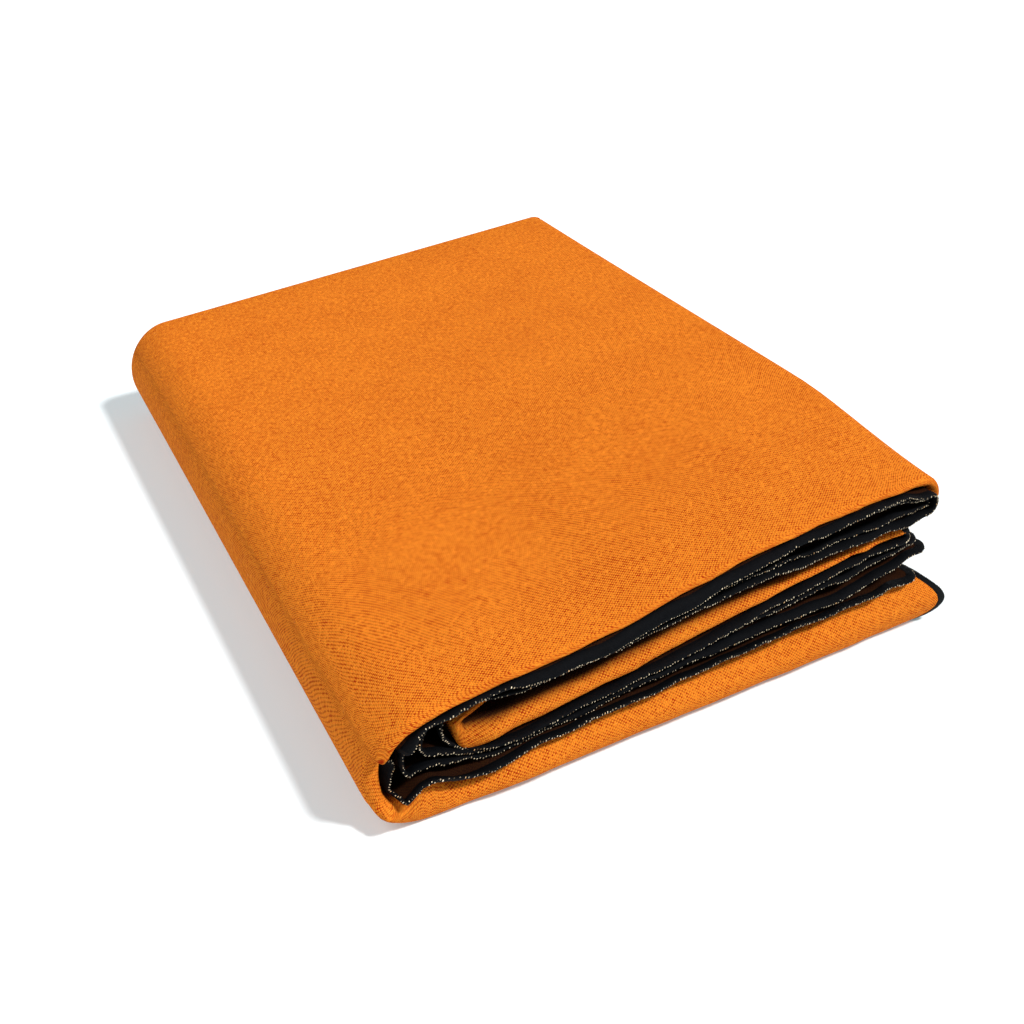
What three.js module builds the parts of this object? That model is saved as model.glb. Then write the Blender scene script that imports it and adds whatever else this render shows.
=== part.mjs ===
// A rectangular tablecloth, folded in four each way, with an overlocked edge all round.
// Millimetres, +Z up. X runs from the spine fold to the open side, Y from the cut edges at
// the front to the folds at the back. The packet rests on its lowest layer.
import * as THREE from 'three';

// ---------- Driving dimensions ----------
const FOLDED_WIDTH = 330;
const FOLDED_DEPTH = 445;
const CLOTH_THICKNESS = 1.5;
const EDGING_WIDTH = 4;
const EDGING_THICKNESS = 1.9;
const SEAM_GAP = 0.3;

// The cloth is first folded perfectly evenly, with this distance between its layers, and the
// even packet is then settled into its real, uneven height.
const PITCH = 3.6;
const GAPS = 15;
const PANEL_HEIGHT = 4 * PITCH;

// ---------- Places of the folds, from the spine and from the front ----------
const SPINE_RADIUS = 1.5 * PANEL_HEIGHT;
const INNER_TURN_RADIUS = 0.5 * PANEL_HEIGHT;
const OUTER_LAYER = 1.5 * PITCH;
const SPINE_CENTRE = SPINE_RADIUS + OUTER_LAYER + CLOTH_THICKNESS / 2;
const INNER_SPINE_CENTRE = SPINE_CENTRE + 22;
const NOSE_CENTRE = FOLDED_WIDTH - INNER_TURN_RADIUS - OUTER_LAYER - CLOTH_THICKNESS / 2;
const LOWER_PANEL_END = FOLDED_WIDTH - 2;
const BACK_FOLD_CENTRE = FOLDED_DEPTH - OUTER_LAYER - CLOTH_THICKNESS / 2;
const INNER_BACK_FOLD_CENTRE = BACK_FOLD_CENTRE - 3;
const FRONT_FOLD_REACH = 3;
const FRONT_FOLD_SET_BACK = 4;
const FRONT_FOLD_CENTRE = FRONT_FOLD_SET_BACK + FRONT_FOLD_REACH;

// ---------- How the packet settles ----------
// Height of the top layer at the front, along the width, and at the back.
const FRONT_HEIGHTS = [56, 63, 66, 71, 78, 86, 90, 91, 92, 92, 91];
const BACK_HEIGHTS = [64, 90];

// Gaps between the layers at the front, along the width: inside the puffed bottom fold, between
// the cut edges of the two lower panels, inside the puffed middle fold, and between the arms of
// the nose. The other layers share what is left. Further back all gaps are alike.
const FRONT_GAPS = [
  { at: 0.18, bottomFold: 13, lowerEdges: 2.4, middleFold: 19, nose: 2.4 },
  { at: 0.3, bottomFold: 16, lowerEdges: 2.6, middleFold: 17, nose: 2.6 },
  { at: 0.55, bottomFold: 21, lowerEdges: 5, middleFold: 9, nose: 6 },
  { at: 0.9, bottomFold: 31, lowerEdges: 7, middleFold: 4.5, nose: 7 },
];
const WIDE_GAPS = { bottomFold: 0, lowerEdges: 3, middleFold: 8, nose: 11 };
const FRONT_REACH = 95;

// How far each layer's front edge sits back, from the lowest up, near the spine and at the
// open side, and at the turns of the spine and the nose.
const SET_BACK_AT_SPINE = [1, 1, 0.5, 2, 2, 3.5, 6, 6, 2, 2, 0, 1.5, 1.5, 3, 4, 4];
const SET_BACK_AT_OPEN = [4, 4, 0, 2.5, 4.5, 7, 9, 9, 6, 6, 0.5, 3, 1.5, 4, 5, 5];
const SET_BACK_AT_TURNS = 2;
const SET_BACK_REACH = 60;

// How far the two puffed folds round out in front of their own layers.
const BOTTOM_FOLD_PUFF = 5;
const MIDDLE_FOLD_PUFF = 2;

// The cut edges flare away from each other over their last few millimetres: the upper panel of
// each pair turns up, the lower one down.
const FLARE = [0, 0, -1.5, -1, 1, 2, 0, 0, 0, 0, -1.5, -1, 1.2, 2.2, 0, 0];
const FLARE_REACH = 9;

// How far each layer of the two lower panels stops short at the open side, and how far the
// puffed bottom fold bulges out past its own two layers there.
const OPEN_END_SHORTFALL = [11, 18, 10, 15, 20, 24, 30, 34];
const OPEN_END_REACH = 90;
const OPEN_END_LIFT = 1.2;
const BOTTOM_FOLD_BULGE = 11;

// How far the nose draws in at the front corner, and the lean of the whole packet from front
// to back.
const NOSE_DRAW_IN = 12;
const NOSE_DRAW_REACH = 130;
const LEAN = 4;

// ---------- Small helpers ----------
const mix = THREE.MathUtils.lerp;
const smoothstep = THREE.MathUtils.smoothstep;
const evenly = (steps) => Array.from({ length: steps }, (_, i) => (i + 1) / steps);
const denserAtEnd = (steps) => evenly(steps).map((f) => 1 - (1 - f) ** 1.7);
const denserAtStart = (steps) => evenly(steps).map((f) => f ** 1.7);

// Value of a table of equal steps at a place that may fall between two of its entries.
function between(table, place) {
  const last = table.length - 1;
  const clamped = THREE.MathUtils.clamp(place, 0, last);
  const low = Math.min(Math.floor(clamped), last - 1);
  return mix(table[low], table[low + 1], clamped - low);
}

// ---------- A fold line: straight runs joined by half turns ----------
class FoldLine {
  constructor(x, y, heading) {
    this.end = new THREE.Vector2(x, y);
    this.heading = new THREE.Vector2(heading, 0);
    this.length = 0;
    this.pieces = [];
    this.stations = [0];
  }

  add(piece, length, fractions) {
    this.pieces.push({ ...piece, start: this.length, length });
    fractions.forEach((f) => this.stations.push(this.length + f * length));
    this.length += length;
    return this;
  }

  run(length, fractions) {
    const from = this.end.clone();
    this.end.addScaledVector(this.heading, length);
    return this.add({ from, heading: this.heading.clone() }, length, fractions);
  }

  // side is 1 for a half turn to the left of the heading, -1 for one to its right. reach is
  // how far the turn goes on ahead, for a fold that is longer or flatter than a half circle.
  turn(radius, side, steps, reach = radius) {
    const left = new THREE.Vector2(-this.heading.y, this.heading.x);
    const centre = this.end.clone().addScaledVector(left, side * radius);
    const piece = { centre, radius, reach, side, heading: this.heading.clone(), left };
    this.end.addScaledVector(left, 2 * side * radius);
    this.heading.negate();
    return this.add(piece, Math.PI * radius, evenly(steps));
  }

  // The point at a distance along the line, and the direction to its right-hand side there.
  at(distance) {
    const piece = this.pieces.find((p) => distance <= p.start + p.length) ?? this.pieces.at(-1);
    const along = distance - piece.start;
    if (piece.from) {
      const point = piece.from.clone().addScaledVector(piece.heading, along);
      return { point, right: new THREE.Vector2(piece.heading.y, -piece.heading.x) };
    }
    const angle = along / piece.radius;
    const aside = piece.left.clone().multiplyScalar(-piece.side * Math.cos(angle));
    const ahead = piece.heading.clone().multiplyScalar(Math.sin(angle));
    const point = piece.centre.clone().addScaledVector(aside, piece.radius);
    point.addScaledVector(ahead, piece.reach);
    return { point, right: aside.add(ahead).multiplyScalar(piece.side) };
  }
}

// Across the packet, in X and Z: third panel, inner spine, second panel, nose, top panel,
// outer spine and bottom panel. The outer face of the cloth's stack is on the right-hand side.
const LEFT_TURN = 1;
const RIGHT_TURN = -1;
const across = new FoldLine(LOWER_PANEL_END, 1.5 * PANEL_HEIGHT, -1)
  .run(LOWER_PANEL_END - INNER_SPINE_CENTRE, evenly(7))
  .turn(INNER_TURN_RADIUS, RIGHT_TURN, 7)
  .run(NOSE_CENTRE - INNER_SPINE_CENTRE, evenly(7))
  .turn(INNER_TURN_RADIUS, LEFT_TURN, 7)
  .run(NOSE_CENTRE - SPINE_CENTRE, evenly(8))
  .turn(SPINE_RADIUS, LEFT_TURN, 10)
  .run(LOWER_PANEL_END - SPINE_CENTRE, evenly(8));

// Through one panel, in Y and in the distance outward from its middle: from one cut edge to
// the inner back fold, the front fold, the outer back fold and the other cut edge.
const FOLD_RADIUS = PITCH / 2;
const through = new FoldLine(0, -FOLD_RADIUS, 1)
  .run(INNER_BACK_FOLD_CENTRE, denserAtStart(5))
  .turn(FOLD_RADIUS, LEFT_TURN, 4)
  .run(INNER_BACK_FOLD_CENTRE - FRONT_FOLD_CENTRE, denserAtEnd(5))
  .turn(FOLD_RADIUS, RIGHT_TURN, 6, FRONT_FOLD_REACH)
  .run(BACK_FOLD_CENTRE - FRONT_FOLD_CENTRE, denserAtStart(5))
  .turn(OUTER_LAYER, RIGHT_TURN, 6)
  .run(BACK_FOLD_CENTRE, denserAtEnd(5));

// ---------- Settling ----------
function packetHeight(x, y) {
  const toOpen = x / FOLDED_WIDTH;
  const front = between(FRONT_HEIGHTS, toOpen * (FRONT_HEIGHTS.length - 1));
  const back = mix(BACK_HEIGHTS[0], BACK_HEIGHTS[1], toOpen);
  return mix(front, back, smoothstep(y, 0, FOLDED_DEPTH));
}

// The gaps between the sixteen layers at the front, a fraction along the width.
function frontGaps(toOpen, rise) {
  const after = FRONT_GAPS.findIndex((station) => toOpen < station.at);
  const high = FRONT_GAPS.at(after);
  const low = after > 0 ? FRONT_GAPS[after - 1] : high;
  const f = low === high ? 0 : smoothstep(toOpen, low.at, high.at);
  const wide = Object.keys(WIDE_GAPS).map((name) => mix(low[name], high[name], f));
  const left = rise - wide.reduce((sum, gap) => sum + gap, 0);
  const gaps = Array(GAPS).fill(left / (GAPS - wide.length));
  Object.values(WIDE_GAPS).forEach((index, i) => { gaps[index] = wide[i]; });
  return gaps;
}

// Height of a layer, counted from 0 for the lowest to 15 for the top one.
function layerHeight(x, y, layer) {
  const toOpen = x / FOLDED_WIDTH;
  const rise = packetHeight(x, y) - CLOTH_THICKNESS;
  const even = rise / GAPS;
  const atTurn = 1 - smoothstep(x, 0.04 * FOLDED_WIDTH, 0.17 * FOLDED_WIDTH);
  const evenShare = Math.max(atTurn, smoothstep(y, 0, FRONT_REACH));
  const gaps = frontGaps(toOpen, rise).map((gap) => mix(gap, even, evenShare));
  const whole = Math.min(Math.floor(layer), GAPS - 1);
  const below = gaps.slice(0, whole).reduce((sum, gap) => sum + gap, 0);
  return below + gaps[whole] * (layer - whole);
}

// How far a layer moves towards the spine near the open side: the lower panels by their
// stepped ends, the upper two by the nose drawing in at the front corner.
function drawIn(x, y, layer) {
  const nearOpen = smoothstep(x, FOLDED_WIDTH - OPEN_END_REACH, FOLDED_WIDTH);
  const upper = smoothstep(layer, 7, 8);
  const bulge = BOTTOM_FOLD_BULGE * Math.sin(Math.PI * Math.min(layer, 1));
  const ends = (between(OPEN_END_SHORTFALL, layer) - bulge) * (1 - upper);
  const nose = NOSE_DRAW_IN * (1 - smoothstep(y, 0, NOSE_DRAW_REACH)) * upper;
  return (ends + nose) * nearOpen;
}

// How far a puffed fold rounds out between its two layers.
function foldPuff(layer) {
  const round = (lower) => Math.sin(Math.PI * THREE.MathUtils.clamp(layer - lower, 0, 1));
  const [bottom, middle] = [round(WIDE_GAPS.bottomFold), round(WIDE_GAPS.middleFold)];
  return BOTTOM_FOLD_PUFF * bottom + MIDDLE_FOLD_PUFF * middle;
}

// How much a place takes part in the turns of the spine or the nose, from 0 to 1.
function turnShare(x, layer) {
  const atSpine = 1 - smoothstep(x, INNER_SPINE_CENTRE - 5, INNER_SPINE_CENTRE + 30);
  const atNose = smoothstep(x, NOSE_CENTRE - 40, NOSE_CENTRE) * smoothstep(layer, 7, 8);
  return Math.max(atSpine, atNose);
}

// How far a layer's front edge sits back. The turns at the spine and at the nose sit even.
function setBack(x, y, layer) {
  const toOpen = smoothstep(x, 0.2 * FOLDED_WIDTH, 0.8 * FOLDED_WIDTH);
  const stepped = mix(between(SET_BACK_AT_SPINE, layer), between(SET_BACK_AT_OPEN, layer), toOpen);
  const back = mix(stepped - foldPuff(layer), SET_BACK_AT_TURNS, turnShare(x, layer));
  return back * (1 - smoothstep(y, 0, SET_BACK_REACH));
}

// Moves a point of the evenly folded cloth to its settled place. The lowest layer stays flat.
function settle(x, y, z) {
  const layer = THREE.MathUtils.clamp(z / PITCH - 0.5, 0, GAPS);
  const flare = between(FLARE, layer) * (1 - smoothstep(y, 0, FLARE_REACH)) * (1 - turnShare(x, layer));
  const lift = OPEN_END_LIFT * smoothstep(x, FOLDED_WIDTH - 40, FOLDED_WIDTH - 15) * (1 - layer / GAPS);
  const height = CLOTH_THICKNESS / 2 + layerHeight(x, y, layer) + flare + lift;
  const lean = (LEAN * y) / FOLDED_DEPTH;
  return new THREE.Vector3(x - drawIn(x, y, layer) + lean, y + setBack(x, y, layer), height);
}

// The middle of the cloth's thickness, from its two distances along the fold lines.
function place(s, r) {
  const column = across.at(s);
  const row = through.at(r);
  const x = column.point.x + column.right.x * row.point.y;
  const z = column.point.y + column.right.y * row.point.y;
  return settle(x, row.point.x, z);
}

// The direction square to the cloth there.
const PROBE = 1e-3;
function squareTo(s, r) {
  const alongS = place(s + PROBE, r).sub(place(s - PROBE, r));
  const alongR = place(s, r + PROBE).sub(place(s, r - PROBE));
  return alongS.cross(alongR).normalize();
}

// ---------- Closed solids ----------
function solid(points, triangles) {
  const geometry = new THREE.BufferGeometry();
  geometry.setAttribute('position', new THREE.Float32BufferAttribute(points.flatMap((p) => p.toArray()), 3));
  geometry.setIndex(triangles);
  geometry.computeVertexNormals();
  return geometry;
}

const quad = (a, b, c, d) => [a, b, c, a, c, d];

// The two faces of the cloth at one place, half its thickness to either side.
function bothFaces(s, r, thickness) {
  const square = squareTo(s, r);
  const middle = place(s, r);
  const face = (side) => middle.clone().addScaledVector(square, (side * thickness) / 2);
  return [face(1), face(-1)];
}

// A sheet over a grid of stations, closed by a rim.
function sheet(columns, rows, thickness) {
  const points = columns.flatMap((s) => rows.flatMap((r) => bothFaces(s, r, thickness)));
  const index = (i, j, side) => 2 * (i * rows.length + j) + side;
  const [lastColumn, lastRow] = [columns.length - 1, rows.length - 1];
  const triangles = [];
  for (let i = 0; i < lastColumn; i += 1) {
    for (let j = 0; j < lastRow; j += 1) {
      const corners = [[i, j], [i + 1, j], [i + 1, j + 1], [i, j + 1]];
      triangles.push(...quad(...corners.map(([a, b]) => index(a, b, 0))));
      triangles.push(...quad(...corners.map(([a, b]) => index(a, b, 1)).reverse()));
    }
  }
  const rim = (a, b) => {
    triangles.push(...quad(index(...a, 0), index(...a, 1), index(...b, 1), index(...b, 0)));
  };
  for (let i = 0; i < lastColumn; i += 1) {
    rim([i, 0], [i + 1, 0]);
    rim([i + 1, lastRow], [i, lastRow]);
  }
  for (let j = 0; j < lastRow; j += 1) {
    rim([0, j + 1], [0, j]);
    rim([lastColumn, j], [lastColumn, j + 1]);
  }
  return solid(points, triangles);
}

// Stations once round a rectangle on the flat cloth, the given distance in from its cut edge.
function onceRound(inset) {
  const [width, height] = [across.length, through.length];
  const columns = across.stations.slice(1, -1);
  const rows = through.stations.slice(1, -1);
  return [
    [inset, inset],
    ...columns.map((s) => [s, inset]),
    [width - inset, inset],
    ...rows.map((r) => [width - inset, r]),
    [width - inset, height - inset],
    ...columns.toReversed().map((s) => [s, height - inset]),
    [inset, height - inset],
    ...rows.toReversed().map((r) => [inset, r]),
  ];
}

// A band along the cut edge, closed on itself at all four corners.
function edgeBand(width, thickness) {
  const outer = onceRound(0).map(([s, r]) => bothFaces(s, r, thickness));
  const inner = onceRound(width).map(([s, r]) => bothFaces(s, r, thickness));
  const points = outer.flatMap((faces, i) => [faces[0], inner[i][0], inner[i][1], faces[1]]);
  const triangles = [];
  for (let i = 0; i < outer.length; i += 1) {
    const [here, next] = [4 * i, 4 * ((i + 1) % outer.length)];
    for (let k = 0; k < 4; k += 1) {
      const after = (k + 1) % 4;
      triangles.push(...quad(here + k, next + k, next + after, here + after));
    }
  }
  return solid(points, triangles);
}

// ---------- The two pieces ----------
function clothPiece() {
  const inset = EDGING_WIDTH + SEAM_GAP;
  const trimmed = (line) => [inset, ...line.stations.slice(1, -1), line.length - inset];
  const geometry = sheet(trimmed(across), trimmed(through), CLOTH_THICKNESS);
  const finish = new THREE.MeshStandardMaterial({ color: 0xe87b25, roughness: 0.9, metalness: 0 });
  const mesh = new THREE.Mesh(geometry, finish);
  mesh.name = 'cloth';
  return mesh;
}

function edgingPiece() {
  const geometry = edgeBand(EDGING_WIDTH, EDGING_THICKNESS);
  const finish = new THREE.MeshStandardMaterial({ color: 0x14141a, roughness: 0.75, metalness: 0 });
  const mesh = new THREE.Mesh(geometry, finish);
  mesh.name = 'edging';
  return mesh;
}

// The origin is under the middle of the packet, on the surface it rests on.
const tablecloth = new THREE.Group();
tablecloth.add(clothPiece(), edgingPiece());
const box = new THREE.Box3().setFromObject(tablecloth);
const middle = box.getCenter(new THREE.Vector3());
tablecloth.children.forEach((piece) => piece.position.set(-middle.x, -middle.y, 0));

export default tablecloth;
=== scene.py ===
"""A folded rectangular tablecloth of coarse orange weave, with a black overlocked edge.

The cloth is one sheet, folded in four each way. Its shape comes from two fold lines, one across
the packet and one through its depth, and the evenly folded sheet is then settled into the
uneven heights, puffed folds and stepped edges of the real packet. Sizes are in millimetres
until a mesh is filled in, and in metres from there on.
"""

import logging
import math
from dataclasses import dataclass, field
from enum import Enum
from typing import Any, Sequence

import bpy
import numpy as np
from mathutils import Matrix, Vector


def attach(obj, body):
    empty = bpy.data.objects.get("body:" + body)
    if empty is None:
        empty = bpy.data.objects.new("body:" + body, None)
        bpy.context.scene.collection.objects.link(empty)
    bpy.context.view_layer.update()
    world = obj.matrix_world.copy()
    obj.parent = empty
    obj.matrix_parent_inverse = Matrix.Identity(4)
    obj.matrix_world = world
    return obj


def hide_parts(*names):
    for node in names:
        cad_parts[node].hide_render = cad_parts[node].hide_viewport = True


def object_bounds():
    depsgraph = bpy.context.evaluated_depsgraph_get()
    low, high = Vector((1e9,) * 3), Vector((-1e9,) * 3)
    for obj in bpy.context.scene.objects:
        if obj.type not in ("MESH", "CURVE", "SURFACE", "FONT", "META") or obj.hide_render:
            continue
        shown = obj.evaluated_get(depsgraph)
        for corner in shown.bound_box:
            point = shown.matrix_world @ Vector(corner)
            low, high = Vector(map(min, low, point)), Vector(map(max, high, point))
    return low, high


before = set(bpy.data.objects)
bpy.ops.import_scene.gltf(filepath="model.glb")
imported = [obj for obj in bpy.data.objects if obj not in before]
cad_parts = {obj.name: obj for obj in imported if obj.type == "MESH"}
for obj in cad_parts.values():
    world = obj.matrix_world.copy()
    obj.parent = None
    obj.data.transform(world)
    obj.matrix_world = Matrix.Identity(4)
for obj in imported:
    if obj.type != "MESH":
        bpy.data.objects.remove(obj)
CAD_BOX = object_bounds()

log = logging.getLogger("tablecloth")
MM = 0.001
STITCH_SHADE = "stitch_shade"
# Vertex attribute that holds the cloth's painted shade and painted shadow.
SLOT_SHADE = "slot_shade"
FLOOR_CLEARANCE = 0.02
Array = np.ndarray
Colour = tuple[float, float, float]


# ---------- Helpers ----------
def mix(a: Any, b: Any, share: Any) -> Any:
    """Returns the value that lies a share of the way from a to b."""
    return a + (b - a) * share


def smoothstep(value: Array, low: float, high: float) -> Array:
    """Rises smoothly from 0 at low to 1 at high."""
    share = np.clip((value - low) / (high - low), 0.0, 1.0)
    return share * share * (3.0 - 2.0 * share)


def smooth_table(places: Sequence[float], values: Sequence[float], soft: float) -> tuple[Array, Array]:
    """Softens a table of values into a dense curve.

    Args:
        places: Where the values are known, in rising order.
        values: The value at each place.
        soft: Length over which corners of the table are rounded.

    Returns:
        Dense places and the softened value at each.
    """
    step = 1.0
    dense = np.arange(places[0] - 4 * soft, places[-1] + 4 * soft, step)
    raw = np.interp(dense, places, values)
    reach = np.arange(-3 * soft, 3 * soft + step, step)
    kernel = np.exp(-0.5 * (reach / soft) ** 2)
    padded = np.pad(raw, len(reach) // 2, mode="edge")
    soft_values = np.convolve(padded, kernel / kernel.sum(), mode="valid")[: len(dense)]
    return dense, soft_values


def clear_selection() -> None:
    """Leaves object mode with nothing selected."""
    if bpy.context.object and bpy.context.object.mode != "OBJECT":
        bpy.ops.object.mode_set(mode="OBJECT")
    bpy.ops.object.select_all(action="DESELECT")


def apply_modifier(piece: bpy.types.Object, kind: str, **settings: Any) -> None:
    """Adds a modifier with its settings and applies it.

    Args:
        piece: The object that is changed.
        kind: The modifier's type name.
        **settings: Its settings.
    """
    clear_selection()
    bpy.context.view_layer.objects.active = piece
    piece.select_set(True)
    modifier = piece.modifiers.new(kind.title(), kind)
    for name, value in settings.items():
        setattr(modifier, name, value)
    bpy.ops.object.modifier_apply(modifier=modifier.name)
    piece.select_set(False)


def grid_piece(name: str, columns: int, rows: int) -> tuple[bpy.types.Object, Array, Array]:
    """Adds a flat grid whose vertices are then put in their places.

    Args:
        name: Name of the new object.
        columns: Cells along the first direction.
        rows: Cells along the second direction.

    Returns:
        The object, and the column and row number of every vertex.
    """
    clear_selection()
    bpy.ops.mesh.primitive_grid_add(x_subdivisions=columns, y_subdivisions=rows, size=2.0)
    piece = bpy.context.object
    piece.name = name
    piece.data.name = name
    flat = np.empty(len(piece.data.vertices) * 3)
    piece.data.vertices.foreach_get("co", flat)
    flat = flat.reshape(-1, 3)
    column = np.rint((flat[:, 0] + 1.0) / 2.0 * columns).astype(int)
    row = np.rint((flat[:, 1] + 1.0) / 2.0 * rows).astype(int)
    return piece, column, row


def above_floor(points: Array) -> Array:
    """Lifts points, in millimetres, that would lie under the floor."""
    points[:, 2] = np.maximum(points[:, 2], FLOOR_CLEARANCE)
    return points


def place_vertices(piece: bpy.types.Object, points: Array) -> None:
    """Puts a piece's vertices at points given in metres."""
    piece.data.vertices.foreach_set("co", points.astype(np.float64).ravel())
    piece.data.update()


def write_uv(piece: bpy.types.Object, first: Array, second: Array) -> None:
    """Writes a UV for every vertex, in metres over the cloth, so patterns keep their real size.

    Args:
        piece: The object that is changed.
        first: First UV number of every vertex.
        second: Second UV number of every vertex.
    """
    corners = np.empty(len(piece.data.loops), dtype=np.int64)
    piece.data.loops.foreach_get("vertex_index", corners)
    pairs = np.stack([first[corners], second[corners]], axis=1)
    piece.data.uv_layers[0].data.foreach_set("uv", pairs.astype(np.float64).ravel())


def shade_smooth(piece: bpy.types.Object) -> None:
    """Shades a piece smooth all over."""
    piece.data.polygons.foreach_set("use_smooth", np.ones(len(piece.data.polygons), dtype=bool))


# ---------- Shader nodes ----------
class Nodes:
    """The node tree of one material, with one way to add any node."""

    def __init__(self, name: str) -> None:
        """Makes an empty material.

        Args:
            name: Name of the material.
        """
        self.material = bpy.data.materials.new(name)
        self.material.use_nodes = True
        self.tree = self.material.node_tree
        self.tree.nodes.clear()

    def add(self, kind: str, settings: dict[str, Any] | None = None, **inputs: Any) -> bpy.types.Node:
        """Adds a node, sets its settings first and then its sockets.

        Args:
            kind: The node's type name without the leading ShaderNode.
            settings: Settings of the node, such as its operation.
            **inputs: Values or links by socket name, with _ for a space, or in0, in1 by number.

        Returns:
            The node.
        """
        node = self.tree.nodes.new("ShaderNode" + kind)
        for name, value in (settings or {}).items():
            if name == "stops":
                self._set_stops(node.color_ramp, value)
            else:
                setattr(node, name, value)
        for name, value in inputs.items():
            numbered = name.startswith("in") and name[2:].isdigit()
            socket = node.inputs[int(name[2:])] if numbered else node.inputs[name.replace("_", " ")]
            self.feed(socket, value)
        return node

    def feed(self, socket: bpy.types.NodeSocket, value: Any) -> None:
        """Gives a socket its value.

        Args:
            socket: The input that is set.
            value: A number, a colour, a link or a Value.
        """
        source = value.socket if isinstance(value, Value) else value
        if isinstance(source, bpy.types.NodeSocket):
            self.tree.links.new(source, socket)
        else:
            socket.default_value = source

    def noise(self, scale: float, detail: float) -> "Value":
        """Adds soft noise through the piece.

        Args:
            scale: Waves of the noise per metre.
            detail: Octaves of finer noise.

        Returns:
            The noise, about 0.5 on average.
        """
        place = self.add("TexCoord")
        noise = self.add("TexNoise", None, Vector=place.outputs["Object"], Scale=scale, Detail=detail)
        return Value(self, noise.outputs[0])

    def ramp(self, tone: Any, *stops: tuple[float, tuple]) -> bpy.types.NodeSocket:
        """Returns the colour that the stops give a tone."""
        return self.add("ValToRGB", {"stops": stops}, Fac=tone).outputs["Color"]

    def bump(self, height: Any, distance: float, strength: float) -> bpy.types.NodeSocket:
        """Returns the normals of a relief of the given height."""
        return self.add("Bump", None, Strength=strength, Distance=distance, Height=height).outputs["Normal"]

    def finish(self, **inputs: Any) -> bpy.types.Material:
        """Adds the surface shader and its output.

        Args:
            **inputs: Values or links by socket name, with _ for a space.

        Returns:
            The finished material.
        """
        shader = self.add("BsdfPrincipled", None, **inputs)
        self.add("OutputMaterial", None, Surface=shader.outputs["BSDF"])
        return self.material

    @staticmethod
    def _set_stops(ramp: bpy.types.ColorRamp, stops: Sequence[tuple[float, tuple]]) -> None:
        """Fills a colour ramp.

        Args:
            ramp: The ramp.
            stops: Its positions and colours.
        """
        for position, _ in stops[2:]:
            ramp.elements.new(position)
        for element, (position, colour) in zip(ramp.elements, stops):
            element.position = position
            element.color = (*colour, 1.0)


class Value:
    """A number in a shader. Its operators add Math nodes."""

    def __init__(self, nodes: Nodes, socket: bpy.types.NodeSocket) -> None:
        """Wraps a socket of the given node tree."""
        self.nodes = nodes
        self.socket = socket

    def _math(self, operation: str, *operands: Any) -> "Value":
        """Adds one Math node.

        Args:
            operation: What the node does.
            *operands: The numbers that it works on.

        Returns:
            The result.
        """
        inputs = {f"in{i}": operand for i, operand in enumerate(operands)}
        node = self.nodes.add("Math", {"operation": operation}, **inputs)
        return Value(self.nodes, node.outputs[0])

    def __add__(self, other: Any) -> "Value":
        """Sum."""
        return self._math("ADD", self, other)

    __radd__ = __add__

    def __sub__(self, other: Any) -> "Value":
        """Difference."""
        return self._math("SUBTRACT", self, other)

    def __rsub__(self, other: Any) -> "Value":
        """Difference from a plain number."""
        return self._math("SUBTRACT", other, self)

    def __mul__(self, other: Any) -> "Value":
        """Product."""
        return self._math("MULTIPLY", self, other)

    __rmul__ = __mul__

    def sine(self) -> "Value":
        """Sine of an angle in radians."""
        return self._math("SINE", self)

    def floor(self) -> "Value":
        """Next whole number below."""
        return self._math("FLOOR", self)

    def clamp(self) -> "Value":
        """The value kept between 0 and 1."""
        node = self.nodes.add("Clamp", None, Value=self)
        return Value(self.nodes, node.outputs[0])


def uv_values(nodes: Nodes) -> tuple[Value, Value]:
    """Reads a piece's UV map.

    Args:
        nodes: The material that reads it.

    Returns:
        Both UV numbers, in metres over the surface.
    """
    uv = nodes.add("UVMap", {"uv_map": "UVMap"})
    parts = nodes.add("SeparateXYZ", None, Vector=uv.outputs["UV"])
    return Value(nodes, parts.outputs["X"]), Value(nodes, parts.outputs["Y"])


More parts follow.
